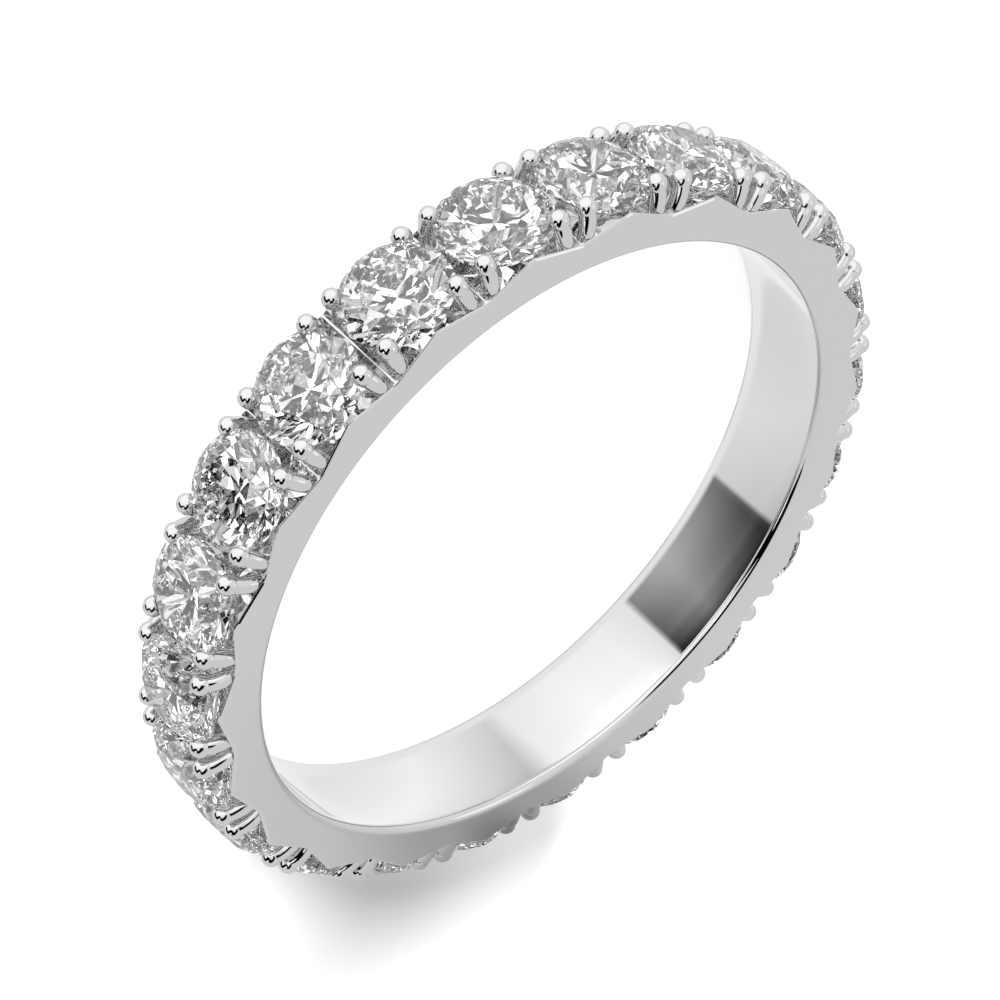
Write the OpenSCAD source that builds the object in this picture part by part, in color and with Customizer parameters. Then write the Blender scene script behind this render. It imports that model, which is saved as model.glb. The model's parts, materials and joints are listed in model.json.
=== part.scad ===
// Full eternity ring: one cast band with four round prongs a stone, and a row of
// round brilliant stones all the way round. The ring lies on its side: its axis
// is Z, one side face is at Z = 0 and the other at Z = band_width. The first
// stone lies on the X axis.

/* [Finger] */
// Inside diameter of the band
inside_dia = 16.5; // [15.5:0.25:19.5]
// Radius of the rounded inner edges
inner_round = 0.24; // [0.06:0.02:0.3]

/* [Stones] */
// Number of stones round the band
stone_count = 22; // [20:1:24]
// Space left between the girdles of neighbouring stones
stone_gap = 0.09; // [0.06:0.01:0.3]
// Width of the table, in percent of the stone's diameter
table_percent = 57; // [53:1:64]
// Height of the crown above the girdle, in percent of the stone's diameter
crown_percent = 15; // [12:0.5:17]
// Depth of the pavilion below the girdle, in percent of the stone's diameter
pavilion_percent = 43; // [40:0.5:45]
// Thickness of the girdle where it is thickest, in percent of the stone's diameter
girdle_percent = 3.5; // [2.5:0.5:5]

/* [Band] */
// Metal left between the finger hole and the point of a stone
floor_wall = 0.18; // [0.12:0.02:0.5]
// How far each side face stands out past the girdles
side_lip = 0.035; // [0.02:0.005:0.2]
// How far a side wall's peak lies below the middle of the girdle
peak_drop = 0.11; // [0.08:0.01:0.2]
// How far the side wall dips from a peak to the valley between two stones
valley_drop = 0.375; // [0.2:0.025:0.5]
// Width of the land left on top of a side wall at its peak
peak_land = 0.05; // [0.03:0.01:0.1]
// Width of the ridge left between two neighbouring cups
ridge_land = 0.05; // [0.03:0.01:0.1]
// Depth of a cup's steep wall below the ridge
cup_depth = 0.2; // [0.1:0.05:0.3]
// How much a cup narrows from the ridge to the foot of its steep wall
cup_draft = 0.12; // [0.06:0.02:0.2]
// How far the corners of a cup reach past its stone
cup_corner = 0.14; // [0.08:0.02:0.2]

/* [Prongs] */
// Diameter of a prong and of its round tip
prong_dia = 0.5; // [0.4:0.01:0.56]
// How far a prong's axis stands outside the girdle, at its tip
prong_reach = 0.065; // [0.02:0.005:0.12]
// Turn of a prong about its stone, away from the ring's axis
prong_turn = 46; // [42:1:50]
// Height of the middle of a prong's round tip above the middle of the girdle
prong_rise = 0.1; // [0.05:0.01:0.16]
// Lean that sets a prong's foot nearer the side face than its tip
prong_lean = 12; // [0:1:14]
// Lean that sets a prong's foot nearer the ridge than its tip
prong_splay = 3; // [0:1:6]
// Depth to which a prong runs into the band below the ridge
prong_root = 0.3; // [0.2:0.05:0.35]

/* [Fit] */
// Clearance between a stone and the metal that holds it
seat_clearance = 0.015; // [0.01:0.005:0.03]

/* [Hidden] */
STONES = [for (i = [1 : stone_count]) str("stone_", i < 10 ? "0" : "", i)];

inside_r = inside_dia / 2;
pitch = 360 / stone_count;
half_pitch_tan = tan(pitch / 2);

// The girdle lies above the finger hole by the floor and the stone's own depth,
// and the stone's diameter fills the pitch there: one linear equation gives both.
depth_share = (pavilion_percent + girdle_percent / 2) / 100;
floor_r = inside_r + floor_wall + seat_clearance;
stone_dia = (2 * half_pitch_tan * floor_r - stone_gap) / (1 - 2 * half_pitch_tan * depth_share);
stone_r = stone_dia / 2;
girdle_r = floor_r + depth_share * stone_dia;
girdle_half = girdle_percent * stone_dia / 200;
crown_top = girdle_half + crown_percent * stone_dia / 100;
culet = depth_share * stone_dia;
table_r = table_percent * stone_dia / 200;

band_width = stone_dia + 2 * side_lip;
mid_z = band_width / 2;
peak_r = girdle_r - peak_drop;
valley_r = peak_r - valley_drop;
// The ridge between two cups, seen along a stone's axis
ridge_h = valley_r * cos(pitch / 2);
ridge_half = valley_r * sin(pitch / 2);

prong_r = prong_dia / 2;
prong_axis = stone_r + prong_reach;
prong_h = girdle_r + prong_rise;
prong_length = prong_h - ridge_h + prong_root;

// Facets of a round brilliant repeat every 45 degrees.
main_step = 45;
half_step = main_step / 2;
quarter_step = half_step / 2;
// Share of the crown's slope that the star facets take
star_share = 0.5;
// Share of the pavilion that the lower girdle facets take
lower_share = 0.76;
star_r = (table_r + star_share * (stone_r - table_r)) / cos(half_step);
star_z = crown_top - star_share * (crown_top - girdle_half);
lower_r = (1 - lower_share) * stone_r / cos(half_step);
lower_z = -culet + (1 - lower_share) * (culet - girdle_half);

function polar(r, a, z) = [r * cos(a), r * sin(a), z];

// Height where the plane through three points meets the girdle at an angle
function girdle_meets(p, q, s, a) =
    let (n = cross(q - p, s - p), at = polar(stone_r, a, 0))
    p[2] - (n[0] * (at[0] - p[0]) + n[1] * (at[1] - p[1])) / n[2];

upper_edge_z = girdle_meets(polar(star_r, half_step, star_z), polar(stone_r, 0, girdle_half),
                            polar(stone_r, half_step, girdle_half), quarter_step);
lower_edge_z = girdle_meets(polar(lower_r, half_step, lower_z), polar(stone_r, 0, -girdle_half),
                            polar(stone_r, half_step, -girdle_half), quarter_step);

// Rings of points, from the table down to the point of the stone. The girdle's
// edges dip at every second point, where the upper and lower facets cut it.
function ring_of(n, r, start, step, z) = [for (i = [0 : n - 1]) polar(r, start + i * step, z)];
function girdle_ring(z, dip_z) =
    [for (i = [0 : 31]) polar(stone_r, i * quarter_step, i % 2 == 0 ? z : dip_z)];
stone_points = concat(
    ring_of(8, table_r, 0, main_step, crown_top),
    ring_of(8, star_r, half_step, main_step, star_z),
    girdle_ring(girdle_half, upper_edge_z),
    girdle_ring(-girdle_half, lower_edge_z),
    ring_of(8, lower_r, half_step, main_step, lower_z),
    [[0, 0, -culet]]
);

// Where each ring starts in the list of points
star_at = 8;
upper_at = 16;
girdle_at = 48;
lower_at = 80;
culet_at = 88;

function crown_faces(i) =
    let (s = star_at + i, g = upper_at + 4 * i, next = upper_at + (4 * i + 4) % 32)
    [
        [i, (i + 1) % 8, s],
        [i, s, g, star_at + (i + 7) % 8],
        [s, g + 2, g + 1, g],
        [s, next, g + 3, g + 2]
    ];
function pavilion_faces(i) =
    let (s = lower_at + i, g = girdle_at + 4 * i, next = girdle_at + (4 * i + 4) % 32)
    [
        [s, g, g + 1, g + 2],
        [s, g + 2, g + 3, next],
        [culet_at, lower_at + (i + 7) % 8, g, s]
    ];
function girdle_face(i) =
    let (j = (i + 1) % 32)
    [upper_at + i, upper_at + j, girdle_at + j, girdle_at + i];
stone_faces = concat(
    [[for (i = [7 : -1 : 0]) i]],
    [for (i = [0 : 7]) for (f = crown_faces(i)) f],
    [for (i = [0 : 31]) girdle_face(i)],
    [for (i = [0 : 7]) for (f = pavilion_faces(i)) f]
);

// The prongs lie over crown mains, the facets between the table's corners and the
// girdle. A cone this much wider than a main's middle clears all that a prong covers.
prong_spread = asin(prong_r / prong_axis) + abs(main_step - prong_turn);
crown_ease = 1 / cos(prong_spread);
crown_slope = (crown_top - girdle_half) / (stone_r - table_r);

// Puts a piece at place i round the band. It is drawn with its Z along the
// stone's axis and its origin on the ring's axis.
module at_stone(i) {
    translate([0, 0, mid_z]) rotate([0, 0, (i - 1) * pitch]) rotate([0, 90, 0]) children();
}

module stone(i) {
    color("lavender") at_stone(i) translate([0, 0, girdle_r])
        polyhedron(points = stone_points, faces = stone_faces);
}

// The round shape of a stone with its clearance, open at the top
module stone_seat() {
    c = seat_clearance;
    shoulder = girdle_half + crown_slope * stone_r * (1 - 1 / crown_ease);
    above = crown_top + prong_dia;
    translate([0, 0, girdle_r]) rotate_extrude($fn = 64) polygon([
        [0, -culet - c * sqrt(2)],
        [stone_r + c, -girdle_half - c / 2],
        [stone_r + c, shoulder + c / 2],
        [table_r * crown_ease + c, crown_top + c / 2],
        [table_r * crown_ease + c, above],
        [0, above]
    ]);
}

// The cup cut into the band below a stone: a square with rounded corners, from
// side wall to side wall and from ridge to ridge, over a shallow cone
module cup() {
    corner = stone_r + cup_corner;
    foot_h = ridge_h - cup_depth;
    across = ridge_half - ridge_land / 2;
    side_half = band_width / 2 - peak_land;
    above = girdle_r + crown_top;
    intersection() {
        rotate_extrude($fn = 64) polygon([
            [0, girdle_r - culet],
            [corner - cup_draft, foot_h],
            [corner, ridge_h],
            [corner, above],
            [0, above]
        ]);
        rotate([90, 0, 90]) linear_extrude(2 * side_half, center = true) polygon([
            [-across + cup_draft, foot_h],
            [-across, ridge_h],
            [-across, above],
            [across, above],
            [across, ridge_h],
            [across - cup_draft, foot_h],
            [0, inside_r]
        ]);
    }
}

// The plain band: rounded inside, and a peak below each stone outside
module blank() {
    f = inner_round;
    wall = peak_r - inside_r;
    outline = [for (i = [0 : 2 * stone_count - 1])
        let (r = i % 2 == 0 ? peak_r : valley_r, a = i * pitch / 2) [r * cos(a), r * sin(a)]];
    intersection() {
        rotate_extrude($fn = 180) union() {
            translate([inside_r + f, 0]) square([wall, band_width]);
            translate([inside_r, f]) square([wall, band_width - 2 * f]);
            translate([inside_r + f, f]) circle(r = f, $fn = 32);
            translate([inside_r + f, band_width - f]) circle(r = f, $fn = 32);
        }
        translate([0, 0, -band_width]) linear_extrude(3 * band_width) polygon(outline);
    }
}

// One prong, with the middle of its round tip at the origin
module prong() {
    rotate_extrude($fn = 48) {
        translate([0, -prong_length]) square([prong_r, prong_length]);
        intersection() {
            circle(r = prong_r, $fn = 48);
            square(prong_r);
        }
    }
}

// All the prongs, cut off where their roots would come out of a side face
module prongs() {
    reach = prong_h + prong_dia;
    intersection() {
        for (i = [1 : stone_count], x = [-1, 1], y = [-1, 1]) at_stone(i)
            translate([x * prong_axis * cos(prong_turn), y * prong_axis * sin(prong_turn), prong_h])
                rotate([y * prong_splay, -x * prong_lean, 0]) prong();
        cylinder(h = band_width, r = reach);
    }
}

module band() {
    color("gainsboro") difference() {
        union() {
            difference() {
                blank();
                for (i = [1 : stone_count]) at_stone(i) cup();
            }
            prongs();
        }
        for (i = [1 : stone_count]) at_stone(i) stone_seat();
    }
}

band();
for (i = [1 : stone_count]) stone(i);
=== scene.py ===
import json
import math

import bpy
from mathutils import Matrix, Vector


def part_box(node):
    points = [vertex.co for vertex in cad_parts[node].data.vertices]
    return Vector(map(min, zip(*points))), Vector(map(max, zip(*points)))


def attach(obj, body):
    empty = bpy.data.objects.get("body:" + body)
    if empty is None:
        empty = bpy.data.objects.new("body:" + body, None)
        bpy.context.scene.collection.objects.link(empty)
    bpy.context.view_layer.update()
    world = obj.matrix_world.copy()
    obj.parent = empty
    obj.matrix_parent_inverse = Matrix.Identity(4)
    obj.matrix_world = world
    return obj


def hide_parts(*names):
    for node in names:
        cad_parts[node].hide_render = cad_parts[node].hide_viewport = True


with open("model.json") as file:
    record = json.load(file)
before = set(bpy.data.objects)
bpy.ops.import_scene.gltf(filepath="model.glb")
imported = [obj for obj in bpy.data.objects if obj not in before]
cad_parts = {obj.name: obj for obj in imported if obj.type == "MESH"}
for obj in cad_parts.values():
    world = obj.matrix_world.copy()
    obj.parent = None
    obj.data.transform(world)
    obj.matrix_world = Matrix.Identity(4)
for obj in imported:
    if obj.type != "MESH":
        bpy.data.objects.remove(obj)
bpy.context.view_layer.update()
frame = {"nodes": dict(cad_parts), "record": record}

mm = 0.001
scene = bpy.context.scene
quarterTurn = math.radians(90)
weldGap = 2e-4  # mm, points nearer to each other than this become one
onPlane = 2e-4  # mm, how near to a plane a point counts as on it
sliceGap = 1e-6


# Small helpers for working as in the modelling window

def activate(obj):
    bpy.ops.object.select_all(action="DESELECT")
    obj.select_set(True)
    bpy.context.view_layer.objects.active = obj


def openForEdit(obj, kind, wanted):
    # Opens a mesh for editing with the points, edges or faces selected that pass the test
    activate(obj)
    bpy.ops.object.mode_set(mode="EDIT")
    bpy.ops.mesh.select_mode(type=kind)
    bpy.ops.mesh.select_all(action="DESELECT")
    bpy.ops.object.mode_set(mode="OBJECT")
    parts = {"VERT": obj.data.vertices, "EDGE": obj.data.edges, "FACE": obj.data.polygons}[kind]
    for part in parts:
        part.select = wanted(part)
    bpy.ops.object.mode_set(mode="EDIT")


def closeEdit():
    bpy.ops.object.mode_set(mode="OBJECT")


def applyPlace(obj):
    activate(obj)
    bpy.ops.object.transform_apply(location=True, rotation=True, scale=True)


def cutWith(obj, tool, how):
    activate(obj)
    cut = obj.modifiers.new("cut", "BOOLEAN")
    cut.operation = how
    cut.solver = "EXACT"
    cut.object = tool
    bpy.ops.object.modifier_apply(modifier=cut.name)
    bpy.data.objects.remove(tool, do_unlink=True)


def sliceOff(obj, point, normal):
    # Cuts off all that lies beyond a plane and closes the cut
    openForEdit(obj, "FACE", lambda face: True)
    bpy.ops.mesh.bisect(plane_co=point, plane_no=normal, use_fill=True, clear_outer=True, threshold=sliceGap)
    closeEdit()


def mirrorOver(obj, axis):
    activate(obj)
    mirror = obj.modifiers.new("mirror", "MIRROR")
    mirror.use_axis = [i == axis for i in range(3)]
    mirror.use_clip = True
    mirror.merge_threshold = weldGap
    bpy.ops.object.modifier_apply(modifier=mirror.name)


def extrudeBy(move, squeeze=(1, 1, 1)):
    bpy.ops.mesh.extrude_region_move(TRANSFORM_OT_translate={"value": move})
    bpy.ops.transform.resize(value=squeeze)


def toLinear(hexColour):
    # sRGB hex to the linear colour that shaders take
    values = [int(hexColour[i:i + 2], 16) / 255 for i in (1, 3, 5)]
    return [v / 12.92 if v <= 0.04045 else ((v + 0.055) / 1.055) ** 2.4 for v in values] + [1]


def addNode(tree, kind, settings={}, inputs={}):
    node = tree.nodes.new(kind)
    for name, value in settings.items():
        setattr(node, name, value)
    for name, value in inputs.items():
        if isinstance(value, bpy.types.NodeSocket):
            tree.links.new(value, node.inputs[name])
        else:
            node.inputs[name].default_value = value
    return node


def addGraph(tree, value, points):
    # Takes a value through a line graph with rounded steps, given as points
    last = None
    for (start, low), (end, high) in zip(points, points[1:]):
        step = addNode(tree, "ShaderNodeMapRange", {"interpolation_type": "SMOOTHSTEP"}, {
            "Value": value, "From Min": start, "From Max": end,
            "To Min": 0 if last else low, "To Max": high - low if last else high})
        if last:
            step = addNode(tree, "ShaderNodeMath", {"operation": "ADD"}, {0: last, 1: step.outputs["Result"]})
        last = step.outputs[0]
    return last


def addGreys(tree, value, shades, blending="LINEAR"):
    # Turns a value into a grey by a ramp, given as places from 0 to 1 and their brightness
    ramp = addNode(tree, "ShaderNodeValToRGB", inputs={"Fac": value})
    ramp.color_ramp.interpolation = blending
    stops = ramp.color_ramp.elements
    while len(stops) < len(shades):
        stops.new(0.5)
    for stop, (place, bright) in zip(stops, shades):
        stop.position = place
        stop.color = (bright, bright, bright, 1)
    return ramp.outputs["Color"]


def startMaterial(name):
    material = bpy.data.materials.new(name)
    material.use_nodes = True
    return material, material.node_tree, material.node_tree.nodes["Principled BSDF"]


def towards(turn, rise):
    turn, rise = math.radians(turn), math.radians(rise)
    return Vector((math.cos(rise) * math.cos(turn), math.cos(rise) * math.sin(turn), math.sin(rise)))


# Sizes read from the frame, in mm. The first stone lies on the X axis.

def boxOf(node):
    low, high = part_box(node)
    return Vector(low) / mm, Vector(high) / mm


stoneNames = sorted(name for name in frame["nodes"] if name.startswith("stone_"))
bandLow, bandHigh = boxOf("band")
stoneLow, stoneHigh = boxOf(stoneNames[0])
insideRadius = frame["record"]["mounts"][0]["dims"]["r_mm"]
halfWidth = (bandHigh.z - bandLow.z) / 2
halfPitch = math.pi / len(stoneNames)

stoneCut = {  # shares of the stone's diameter
    "table": 0.57,
    "crown": 0.15,
    "pavilion": 0.43,
    "girdle": 0.035,
}
stoneRadius = (stoneHigh.z - stoneLow.z) / 2
stoneDiameter = 2 * stoneRadius
girdleHalf = stoneCut["girdle"] * stoneDiameter / 2
crownTop = girdleHalf + stoneCut["crown"] * stoneDiameter
culetDepth = girdleHalf + stoneCut["pavilion"] * stoneDiameter
tableRadius = stoneCut["table"] * stoneDiameter / 2
girdleHeight = stoneHigh.x - crownTop
print("frame read:", len(stoneNames), "stones of", round(stoneDiameter, 3), "mm")


# The metal: a quarter of one stone's stretch is modelled, mirrored twice and
# set round the ring. All of it is in mm until the end.

bandShape = {
    # mm and degrees. The zigzag edge's round, the reach of the cup corners and the curved prongs
    # are this model's own, and the rest is as in the metal node.
    "innerRound": 0.24,
    "edgeRound": 0.09,
    "peakDrop": 0.11,
    "valleyDrop": 0.375,
    "peakLand": 0.05,
    "ridgeLand": 0.05,
    "cupDepth": 0.2,
    "cupDraft": 0.12,
    "cupCorner": 0.46,
    "prongDiameter": 0.5,
    "prongReach": 0.065,
    "prongTurn": 46,
    "prongRise": 0.1,
    "prongLean": 24.6,
    "prongNeck": 0.4045,
    "prongCurve": 0.42,
    "prongFoot": 0.39,
    "prongRoot": 0.36,
    "clearance": 0.015,
    "mainFacetTurn": 45,
    # How finely the round shapes are cut
    "innerRoundSteps": 10,
    "edgeRoundSteps": 4,
    "wallSteps": 8,
    "cutterSides": 96,
    "ballSides": 36,
    "ballRings": 20,
    "pegSteps": 6,
    "troughPoint": 0.02,  # share of its width that the cup's cutter keeps at its lowest line
    # Shading: edges up to this angle look round, and the flat faces beside them stay flat
    "smoothUpTo": 28,
    "flatWeight": 100,
    "flatLimit": 1e-5,
}
peakRadius = girdleHeight - bandShape["peakDrop"]
valleyRadius = peakRadius - bandShape["valleyDrop"]
ridgeHeight = valleyRadius * math.cos(halfPitch)
ridgeHalf = valleyRadius * math.sin(halfPitch)


def makeWall():
    # The section is spun over half a stone's pitch, then its outer edge is cut to the zigzag
    outside = peakRadius + bandShape["innerRound"]
    bpy.ops.mesh.primitive_plane_add(
        size=1, location=((insideRadius + outside) / 2, 0, halfWidth / 2), rotation=(quarterTurn, 0, 0))
    wall = bpy.context.object
    wall.scale = (outside - insideRadius, halfWidth, 1)
    applyPlace(wall)
    openForEdit(wall, "VERT", lambda v: v.co.x < insideRadius + onPlane and v.co.z > halfWidth / 2)
    bpy.ops.mesh.bevel(
        offset=bandShape["innerRound"], segments=bandShape["innerRoundSteps"], affect="VERTICES")
    bpy.ops.mesh.select_all(action="SELECT")
    bpy.ops.mesh.spin(steps=bandShape["wallSteps"], angle=-halfPitch, center=(0, 0, 0), axis=(0, 0, 1))
    bpy.ops.mesh.select_all(action="SELECT")
    bpy.ops.mesh.normals_make_consistent(inside=False)
    closeEdit()
    peak = Vector((peakRadius, 0, 0))
    down = Vector((ridgeHeight, ridgeHalf, 0)) - peak
    outward = Vector((down.y, -down.x, 0)).normalized()
    sliceOff(wall, peak, outward)
    points = wall.data.vertices

    def onOuterEdge(edge):
        return all(abs(points[v].co.z - halfWidth) < onPlane
                   and abs((points[v].co - peak).dot(outward)) < onPlane for v in edge.vertices)

    openForEdit(wall, "EDGE", onOuterEdge)
    bpy.ops.mesh.bevel(offset=bandShape["edgeRound"], segments=bandShape["edgeRoundSteps"], affect="EDGES")
    closeEdit()
    return wall


def makeCupTool():
    # What is cut away below a stone: straight sided along the band, round at its corners
    across = ridgeHalf - bandShape["ridgeLand"] / 2
    corner = stoneRadius + bandShape["cupCorner"]
    foot = ridgeHeight - bandShape["cupDepth"]
    above = girdleHeight + crownTop
    sideHalf = halfWidth - bandShape["peakLand"]
    drop = (foot - ridgeHeight, 0, 0)
    middle = ((above + ridgeHeight) / 2, 0, 0)
    bpy.ops.mesh.primitive_cube_add(size=1, location=middle)
    trough = bpy.context.object
    trough.scale = (above - ridgeHeight, 2 * across, 2 * sideHalf)
    applyPlace(trough)
    openForEdit(trough, "FACE", lambda face: face.normal.x < -0.5)
    extrudeBy(drop, (1, 1 - bandShape["cupDraft"] / across, 1))
    extrudeBy((insideRadius - foot, 0, 0), (1, bandShape["troughPoint"], 1))
    closeEdit()
    bpy.ops.mesh.primitive_cylinder_add(
        vertices=bandShape["cutterSides"], radius=corner, depth=above - ridgeHeight,
        location=middle, rotation=(0, quarterTurn, 0))
    bowl = bpy.context.object
    applyPlace(bowl)
    openForEdit(bowl, "FACE", lambda face: face.normal.x < -0.5)
    narrowing = 1 - bandShape["cupDraft"] / corner
    extrudeBy(drop, (1, narrowing, narrowing))
    extrudeBy((girdleHeight - culetDepth - foot, 0, 0))
    bpy.ops.mesh.merge(type="CENTER")
    closeEdit()
    cutWith(trough, bowl, "INTERSECT")
    return trough


def makeProng():
    # A ball for the tip, open below. Its edge is drawn down into a narrower peg that
    # leans over the stone at its neck and straightens as it goes.
    radius = bandShape["prongDiameter"] / 2
    tipHeight = girdleHeight + bandShape["prongRise"]
    lean = math.radians(bandShape["prongLean"])
    steps = bandShape["pegSteps"]
    narrowing = (bandShape["prongFoot"] / bandShape["prongNeck"]) ** (1 / steps)
    bpy.ops.mesh.primitive_uv_sphere_add(
        segments=bandShape["ballSides"], ring_count=bandShape["ballRings"], radius=radius)
    prong = bpy.context.object
    points = prong.data.vertices
    neck = -math.sqrt(radius ** 2 - (bandShape["prongNeck"] / 2) ** 2)
    openForEdit(prong, "VERT", lambda v: v.co.z < neck - onPlane)
    bpy.ops.mesh.delete(type="VERT")
    closeEdit()
    lowest = min(v.co.z for v in points)

    def onOpenEdge(edge):
        return all(abs(points[v].co.z - lowest) < onPlane for v in edge.vertices)

    openForEdit(prong, "EDGE", onOpenEdge)
    centre = Vector((0, 0, lowest))
    for step in range(steps):
        slant = -lean * (step + 0.5) / steps
        move = Vector((-math.sin(slant), 0, -math.cos(slant))) * bandShape["prongCurve"] / steps
        centre += move
        bpy.ops.mesh.extrude_region_move(TRANSFORM_OT_translate={"value": move})
        bpy.ops.transform.resize(value=(narrowing, narrowing, narrowing), center_override=centre)
        bpy.ops.transform.rotate(value=lean / steps, orient_axis="Y", center_override=centre)
    foot = Matrix.Rotation(lean, 4, "Y") @ centre
    drop = tipHeight + foot.z - ridgeHeight + bandShape["prongRoot"]
    bpy.ops.mesh.extrude_region_move(
        TRANSFORM_OT_translate={"value": Vector((math.sin(lean), 0, -math.cos(lean))) * drop})
    bpy.ops.mesh.edge_face_add()
    closeEdit()
    turn = math.radians(bandShape["prongTurn"])
    reach = stoneRadius + bandShape["prongReach"]
    place = Matrix.Translation((-reach * math.cos(turn), reach * math.sin(turn), tipHeight))
    prong.matrix_world = Matrix.Rotation(quarterTurn, 4, "Y") @ place @ Matrix.Rotation(lean, 4, "Y")
    applyPlace(prong)
    return prong


def makeSeatTool():
    # The round shape of a stone with its clearance, which the prongs are notched to
    gap = bandShape["clearance"]
    radius = stoneRadius + gap
    prongSpread = (math.asin(bandShape["prongDiameter"] / 2 / (stoneRadius + bandShape["prongReach"]))
                   + math.radians(abs(bandShape["mainFacetTurn"] - bandShape["prongTurn"])))
    ease = 1 / math.cos(prongSpread)
    slope = (crownTop - girdleHalf) / (stoneRadius - tableRadius)
    shoulder = girdleHalf + slope * stoneRadius * (1 - 1 / ease) + gap / 2
    bottom = -girdleHalf - gap / 2
    top = crownTop + gap / 2
    bpy.ops.mesh.primitive_cylinder_add(
        vertices=bandShape["cutterSides"], radius=radius, depth=shoulder - bottom,
        location=(girdleHeight + (shoulder + bottom) / 2, 0, 0), rotation=(0, quarterTurn, 0))
    seat = bpy.context.object
    applyPlace(seat)
    openForEdit(seat, "FACE", lambda face: face.normal.x > 0.5)
    narrowing = (tableRadius * ease + gap) / radius
    extrudeBy((top - shoulder, 0, 0), (1, narrowing, narrowing))
    extrudeBy((bandShape["prongDiameter"], 0, 0))
    closeEdit()
    openForEdit(seat, "FACE", lambda face: face.normal.x < -0.5)
    extrudeBy((-culetDepth - gap * math.sqrt(2) - bottom, 0, 0))
    bpy.ops.mesh.merge(type="CENTER")
    closeEdit()
    return seat


def makeBand():
    band = makeWall()
    cutWith(band, makeCupTool(), "DIFFERENCE")
    cutWith(band, makeProng(), "UNION")
    ridgeSide = Vector((-math.sin(halfPitch), math.cos(halfPitch), 0))
    sliceOff(band, (0, 0, 0), ridgeSide)
    cutWith(band, makeSeatTool(), "DIFFERENCE")
    points = band.data.vertices
    cutSides = (ridgeSide, Vector((0, 1, 0)), Vector((0, 0, 1)))

    def onCutSide(face):
        return any(all(abs(points[v].co.dot(side)) < onPlane for v in face.vertices) for side in cutSides)

    openForEdit(band, "FACE", onCutSide)
    bpy.ops.mesh.delete(type="FACE")
    closeEdit()
    mirrorOver(band, 2)
    mirrorOver(band, 1)
    stretches = [band]
    for i in range(1, len(stoneNames)):
        activate(band)
        bpy.ops.object.duplicate()
        stretch = bpy.context.object
        stretch.rotation_euler.z = 2 * halfPitch * i
        applyPlace(stretch)
        stretches.append(stretch)
    for stretch in stretches:
        stretch.select_set(True)
    bpy.context.view_layer.objects.active = band
    bpy.ops.object.join()
    openForEdit(band, "VERT", lambda v: True)
    bpy.ops.mesh.remove_doubles(threshold=weldGap)
    bpy.ops.mesh.normals_make_consistent(inside=False)
    closeEdit()
    bpy.ops.object.shade_smooth_by_angle(angle=math.radians(bandShape["smoothUpTo"]))
    weights = band.modifiers.new("flat faces stay flat", "WEIGHTED_NORMAL")
    weights.keep_sharp = True
    weights.weight = bandShape["flatWeight"]
    weights.thresh = bandShape["flatLimit"]
    bpy.ops.object.modifier_apply(modifier=weights.name)
    band.location.z = halfWidth * mm
    band.scale = (mm, mm, mm)
    applyPlace(band)
    band.name = "polished_band"
    return band


band = makeBand()
print("band made:", len(band.data.polygons), "faces")


# Finishes

polish = {
    "colour": "#E3E3E3",
    "smoothest": 0.012,
    "roughest": 0.035,
    "haze": 1.5,  # mm, size of the patches where the last buffing left a little more haze
    "hazeDetail": 3,
    "hazeSpread": (0.3, 0.7),  # the noise values between which a patch fades
}


def makeWhiteGold():
    # Rhodium plated white gold, machine polished: a bright neutral mirror with a trace of haze
    material, tree, shader = startMaterial("polished_white_gold")
    coords = addNode(tree, "ShaderNodeTexCoord")
    haze = addNode(tree, "ShaderNodeTexNoise", inputs={
        "Vector": coords.outputs["Object"], "Scale": 1 / (polish["haze"] * mm),
        "Detail": polish["hazeDetail"]})
    low, high = polish["hazeSpread"]
    roughness = addNode(tree, "ShaderNodeMapRange", inputs={
        "Value": haze.outputs["Fac"], "From Min": low, "From Max": high,
        "To Min": polish["smoothest"], "To Max": polish["roughest"]})
    tree.links.new(roughness.outputs["Result"], shader.inputs["Roughness"])
    shader.inputs["Base Color"].default_value = toLinear(polish["colour"])
    shader.inputs["Metallic"].default_value = 1
    return material


gem = {
    "colour": "#FFFFFF",
    "ior": 2.417,
}


def makeStoneFinish():
    # Colourless brilliant cut diamond: perfectly smooth facets that bend light strongly
    material, tree, shader = startMaterial("cut_diamond")
    shader.inputs["Base Color"].default_value = toLinear(gem["colour"])
    shader.inputs["Roughness"].default_value = 0
    shader.inputs["IOR"].default_value = gem["ior"]
    shader.inputs["Transmission Weight"].default_value = 1
    return material


def dress(obj, material):
    obj.data.materials.clear()
    obj.data.materials.append(material)


dress(band, makeWhiteGold())
diamond = makeStoneFinish()
for name in stoneNames:
    dress(frame["nodes"][name], diamond)
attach(band, "root")
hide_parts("band")
print("finishes set")


# The studio. The metal and the stones mirror a room that is alike above and below the floor, as
# if the ring were held up in it, so neither sees the floor.

ringUp = towards(70.5, -9)  # what a ring stood on its edge, as in the picture, would have as up

floorPaper = {
    "size": 3,  # m
    "colour": "#C2C2C2",
    "shadowCentre": (-7.2, -13.2, 0),  # mm
    # The glow is painted light that fades to nothing round the shadow centre, so the floor is darker there: a
    # painted shade
    "glow": [(0, 0), (6.2, 0.35), (8, 0.8)],  # mm from there, brightness
}


def startGlow(name, base="#000000"):
    # A matt surface with a light of its own
    material, tree, shader = startMaterial(name)
    shader.inputs["Base Color"].default_value = toLinear(base)
    shader.inputs["Roughness"].default_value = 1
    shader.inputs["Specular IOR Level"].default_value = 0
    shader.inputs["Emission Color"].default_value = toLinear("#FFFFFF")
    shader.inputs["Emission Strength"].default_value = 1
    return material, tree, shader


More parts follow.
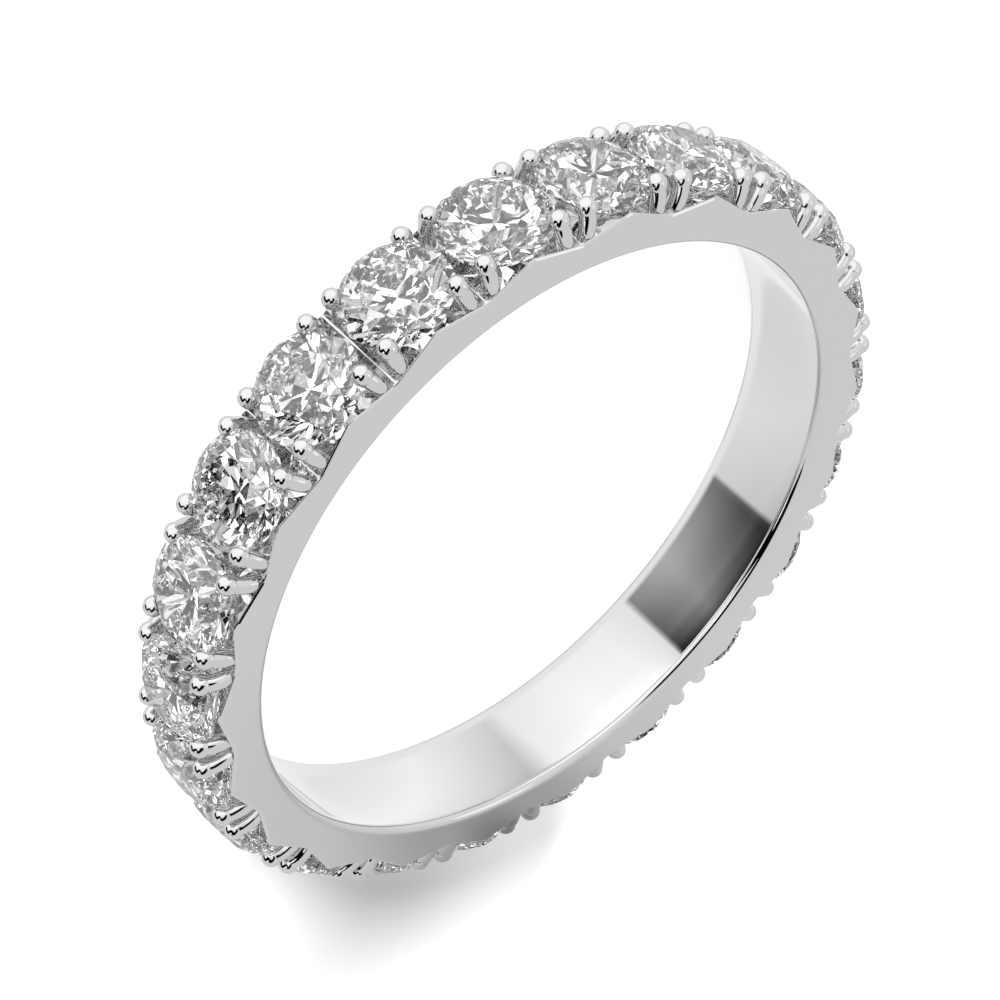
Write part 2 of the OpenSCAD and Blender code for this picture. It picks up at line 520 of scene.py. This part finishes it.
def makeFloor():
    # Matt pale paper with a glow of its own, which is painted light: it keeps the floor white all round, and
    # fades to nothing round the shadow centre, a painted shade that leaves the key light's soft shadow
    # showing only below one end of the ring
    bpy.ops.object.select_all(action="DESELECT")
    bpy.ops.mesh.primitive_plane_add(size=floorPaper["size"])
    floor = bpy.context.object
    floor.name = "floor"
    material, tree, shader = startGlow("matt_paper_painted_glow", floorPaper["colour"])
    coords = addNode(tree, "ShaderNodeTexCoord")
    away = addNode(tree, "ShaderNodeVectorMath", {"operation": "DISTANCE"}, {0: coords.outputs["Object"]})
    away.inputs[1].default_value = Vector(floorPaper["shadowCentre"]) * mm
    glow = addGraph(tree, away.outputs["Value"], [(far * mm, bright) for far, bright in floorPaper["glow"]])
    tree.links.new(glow, shader.inputs["Emission Strength"])
    floor.data.materials.append(material)
    floor.visible_glossy = floor.visible_transmission = False


keyLight = {
    "towards": (101, 16),  # turn and rise, degrees
    "wide": 18,
    "power": 13,
}


def makeKeyLight():
    # A broad lamp behind the ring that throws its soft shadow. Only the floor takes its light.
    aim = towards(*keyLight["towards"]).to_track_quat("Z", "Y").to_euler()
    bpy.ops.object.light_add(type="SUN", rotation=aim)
    lamp = bpy.context.object
    lamp.name = "key_light"
    lamp.data.energy = keyLight["power"]
    lamp.data.angle = math.radians(keyLight["wide"])
    lamp.visible_camera = lamp.visible_glossy = lamp.visible_transmission = False


def hangCard(obj, name, material, seenBy):
    # A card is seen only by the metal, or only by the stones, and lights nothing else
    obj.name = name
    obj.data.materials.append(material)
    obj.visible_camera = obj.visible_diffuse = obj.visible_shadow = False
    obj.visible_glossy = seenBy == "metal"
    obj.visible_transmission = seenBy == "stones"


cardKinds = {
    "light": {"far": 0.25, "round": True},  # m from the ring
    "dark": {"far": 0.24, "round": False},
    "spark": {"far": 0.23, "round": True},
}
cards = {  # turn and rise of both ends and the width, all in degrees, and the brightness
    "softbox": {"kind": "light", "ends": [(86, -68), (86, 42)], "wide": 110, "bright": 1.2},
    "side_light": {"kind": "light", "ends": [(348, 50), (20, 50)], "wide": 20, "bright": 1.15},
    "low_light": {"kind": "light", "ends": [(210, -65), (258, -69)], "wide": 14, "bright": 1.2},
    "fill_light": {"kind": "light", "ends": [(265, -22), (10, -22)], "wide": 44, "bright": 0.93},
    "dark_first": {"kind": "dark", "ends": [(153, -41), (176, -5)], "wide": 22, "bright": 0},
    "dark_second": {"kind": "dark", "ends": [(176, -5), (148, 16)], "wide": 23, "bright": 0},
    "dark_third": {"kind": "dark", "ends": [(148, 16), (185, 46)], "wide": 24, "bright": 0},
    "dark_fourth": {"kind": "dark", "ends": [(185, 46), (98, 59)], "wide": 24, "bright": 0},
    "first_spark": {"kind": "spark", "ends": [(145, -8), (157, -8)], "wide": 13, "bright": 1.3},
    "second_spark": {"kind": "spark", "ends": [(162, 24), (176, 24)], "wide": 13, "bright": 1.3},
    "third_spark": {"kind": "spark", "ends": [(121, 44), (140, 44)], "wide": 13, "bright": 1.3},
}
cardMake = {
    "sides": 48,  # of a round card
    "overlap": 0.7,  # how much longer a straight card is, as a share of its width
    "base": "#050505",
}


def makeCard(name, card):
    # A flat card that faces the ring, long from one direction to the other
    kind = cardKinds[card["kind"]]
    start, end = [towards(*way) for way in card["ends"]]
    away = (start + end).normalized()
    long = (end - start).normalized()
    across = away.cross(long)
    far = kind["far"]
    width = 2 * far * math.tan(math.radians(card["wide"]) / 2)
    length = 2 * far * math.tan(start.angle(end) / 2)
    bpy.ops.object.select_all(action="DESELECT")
    if kind["round"]:
        bpy.ops.mesh.primitive_circle_add(vertices=cardMake["sides"], radius=0.5, fill_type="NGON")
    else:
        bpy.ops.mesh.primitive_plane_add(size=1)
        length += cardMake["overlap"] * width
    obj = bpy.context.object
    turned = Matrix((long, across, away)).transposed().to_4x4()
    obj.matrix_world = Matrix.Translation(away * far) @ turned @ Matrix.Diagonal((length, width, 1, 1))
    material, tree, shader = startGlow(name, cardMake["base"])
    shader.inputs["Emission Strength"].default_value = card["bright"]
    hangCard(obj, name, material, "metal")


# The cone's glow is a painted reflection for the bore: greys round a point, with dark wedges of painted shade
# and white near its foot
holeCard = {  # the card that the bore mirrors, shaded like a fan round a point, in mm
    "centre": (1.42, -4.23),
    "footRadius": 8.2,
    "topRadius": 5.2,
    "foot": 0.03,
    "height": 1.5,
    "sides": 96,
    "pale": (7.88, 8.02),  # the radii between which it turns white
    # Larger exponents make the painted shade darker towards the cone's top
    "deepening": [(5.8, 3.2), (6.3, 1.6), (6.6, 1.2), (7.9, 0.75)],  # radius, exponent of the shades
    "shades": [  # degrees round the point, brightness
        (-176, 0.87), (-152, 1.15), (-132, 0.75), (-127, 1.08), (-108, 1.19), (-85, 1.13), (-69.5, 0.97),
        (-68.5, 0.2), (-47, 0.44), (-17, 0.12), (-15.5, 0.77), (3, 0.9), (22, 0.77),
    ],
}


def makeHoleCard():
    # A low cone on the floor in the finger hole, seen only where the polished bore mirrors it. Its glow is
    # painted shade and light, which the bore shows as a painted reflection.
    bpy.ops.object.select_all(action="DESELECT")
    bpy.ops.mesh.primitive_cone_add(
        vertices=holeCard["sides"], radius1=holeCard["footRadius"] * mm, radius2=holeCard["topRadius"] * mm,
        depth=holeCard["height"] * mm, end_fill_type="NOTHING",
        location=(0, 0, (holeCard["foot"] + holeCard["height"] / 2) * mm))
    obj = bpy.context.object
    applyPlace(obj)
    material, tree, shader = startGlow("painted_shade_card")
    coords = addNode(tree, "ShaderNodeTexCoord")
    x, y = holeCard["centre"]
    fan = addNode(tree, "ShaderNodeMapping", inputs={
        "Vector": coords.outputs["Object"], "Location": (-x * mm, -y * mm, 0)})
    around = addNode(tree, "ShaderNodeTexGradient", {"gradient_type": "RADIAL"}, {
        "Vector": fan.outputs["Vector"]})
    greys = addGreys(tree, around.outputs["Fac"], [
        ((angle + 180) / 360, bright) for angle, bright in holeCard["shades"]])
    middle = addNode(tree, "ShaderNodeVectorMath", {"operation": "LENGTH"}, {0: coords.outputs["Object"]})
    paleFrom, paleTo = holeCard["pale"]
    pale = addNode(tree, "ShaderNodeMapRange", {"interpolation_type": "SMOOTHSTEP"}, {
        "Value": middle.outputs["Value"], "From Min": paleFrom * mm, "From Max": paleTo * mm})
    deeper = addGraph(tree, middle.outputs["Value"], [(r * mm, power) for r, power in holeCard["deepening"]])
    graded = addNode(tree, "ShaderNodeGamma", inputs={"Color": greys, "Gamma": deeper})
    shade = addNode(tree, "ShaderNodeMix", {"data_type": "RGBA"}, {
        0: pale.outputs["Result"], 6: graded.outputs["Color"], 7: toLinear("#FFFFFF")})
    tree.links.new(shade.outputs[2], shader.inputs["Emission Color"])
    hangCard(obj, "hole_card", material, "metal")


groundCard = {
    "far": 10.3,  # mm from the middle of the ring
    "sides": 64,
    "shades": [(0, 0.22), (1.5, 0.42), (5, 0.68), (9, 0.756)],  # mm from its own middle, brightness
}


def makeGroundCard():
    # A disc below one end of the ring with a painted shadow, as dark in its middle as the ground is under a
    # ring stood on its edge. Only the metal mirrors it.
    radius = groundCard["shades"][-1][0] * mm
    bpy.ops.object.select_all(action="DESELECT")
    bpy.ops.mesh.primitive_circle_add(vertices=groundCard["sides"], radius=radius, fill_type="NGON")
    obj = bpy.context.object
    middle = Vector((0, 0, halfWidth)) - ringUp * groundCard["far"]
    turned = ringUp.to_track_quat("Z", "Y").to_matrix().to_4x4()
    obj.matrix_world = Matrix.Translation(middle * mm) @ turned
    material, tree, shader = startGlow("shaded_ground")
    coords = addNode(tree, "ShaderNodeTexCoord")
    away = addNode(tree, "ShaderNodeVectorMath", {"operation": "LENGTH"}, {0: coords.outputs["Object"]})
    glow = addGraph(tree, away.outputs["Value"], [(r * mm, bright) for r, bright in groundCard["shades"]])
    tree.links.new(glow, shader.inputs["Emission Strength"])
    hangCard(obj, "ground_card", material, "metal")


stoneRoom = {  # what the stones see of the room: panels, most of them dark
    "radius": 0.4,  # m
    "fineness": 5,
    "panels": 4,  # across the room's radius
    "shades": [(0, 0.01), (0.5, 0.5), (0.65, 1), (0.75, 2)],  # share of the panels, brightness
    "gels": 7,  # tinted sheets across the room's radius
    "tint": 0.08,
}


def makeStoneRoom():
    # Black and bright panels all round, as in a jeweller's light box. They give the facets their
    # sparkle, and their faint tints stand for the stones' fire. The metal doesn't see them.
    bpy.ops.object.select_all(action="DESELECT")
    bpy.ops.mesh.primitive_ico_sphere_add(subdivisions=stoneRoom["fineness"], radius=stoneRoom["radius"])
    obj = bpy.context.object
    material, tree, shader = startGlow("lit_panels")
    coords = addNode(tree, "ShaderNodeTexCoord")
    panels = addNode(tree, "ShaderNodeTexVoronoi", inputs={
        "Vector": coords.outputs["Object"], "Scale": stoneRoom["panels"] / stoneRoom["radius"]})
    parts = addNode(tree, "ShaderNodeSeparateColor", inputs={"Color": panels.outputs["Color"]})
    greys = addGreys(tree, parts.outputs["Red"], stoneRoom["shades"], "CONSTANT")
    gels = addNode(tree, "ShaderNodeTexVoronoi", inputs={
        "Vector": coords.outputs["Object"], "Scale": stoneRoom["gels"] / stoneRoom["radius"]})
    tinted = addNode(tree, "ShaderNodeMix", {"data_type": "RGBA", "blend_type": "MULTIPLY"}, {
        0: stoneRoom["tint"], 6: greys, 7: gels.outputs["Color"]})
    tree.links.new(tinted.outputs[2], shader.inputs["Emission Color"])
    hangCard(obj, "stone_room", material, "stones")


room = {
    "below": 0.756,  # brightness of the grey side of the room, which the side face mirrors
    "above": 0.86,
    "blend": (-0.1, 0.3),  # heights between which one turns into the other, as shares of straight up
}


def makeSky():
    world = bpy.data.worlds.new("studio")
    world.use_nodes = True
    tree = world.node_tree
    background = tree.nodes["Background"]
    background.inputs["Color"].default_value = toLinear("#FFFFFF")
    coords = addNode(tree, "ShaderNodeTexCoord")
    height = addNode(tree, "ShaderNodeVectorMath", {"operation": "DOT_PRODUCT"}, {
        0: coords.outputs["Generated"]})
    height.inputs[1].default_value = ringUp
    low, high = room["blend"]
    strength = addNode(tree, "ShaderNodeMapRange", {"interpolation_type": "SMOOTHSTEP"}, {
        "Value": height.outputs["Value"], "From Min": low, "From Max": high,
        "To Min": room["below"], "To Max": room["above"]})
    tree.links.new(strength.outputs["Result"], background.inputs["Strength"])
    scene.world = world


view = {  # mm and degrees
    "target": (-0.334, 0.869, 1.377),
    "distance": 94.964,
    "turn": 108.183,
    "rise": 32.478,
    "roll": 132.557,
    "lens": 147.867,
    "sensor": 36,
    "clip": (5, 10000),
}


def makeCamera():
    away = towards(view["turn"], view["rise"])
    camera = bpy.data.cameras.new("camera")
    camera.lens = view["lens"]
    camera.sensor_width = view["sensor"]
    camera.clip_start, camera.clip_end = [far * mm for far in view["clip"]]
    obj = bpy.data.objects.new("camera", camera)
    bpy.context.collection.objects.link(obj)
    upright = away.to_track_quat("Z", "Y").to_matrix().to_4x4()
    roll = Matrix.Rotation(math.radians(view["roll"]), 4, "Z")
    place = (Vector(view["target"]) + away * view["distance"]) * mm
    obj.matrix_world = Matrix.Translation(place) @ upright @ roll
    scene.camera = obj


makeFloor()
makeKeyLight()
makeHoleCard()
for name, card in cards.items():
    makeCard(name, card)
makeGroundCard()
makeStoneRoom()
makeSky()
makeCamera()

bounces = 40  # light crosses many facets, and the metal between the stones mirrors itself many times
floorBounces = 3
scene.cycles.max_bounces = bounces
scene.cycles.transmission_bounces = bounces
scene.cycles.glossy_bounces = bounces
scene.cycles.diffuse_bounces = floorBounces
scene.cycles.caustics_reflective = False
scene.cycles.caustics_refractive = False
scene.view_settings.view_transform = "Standard"
print("studio set")
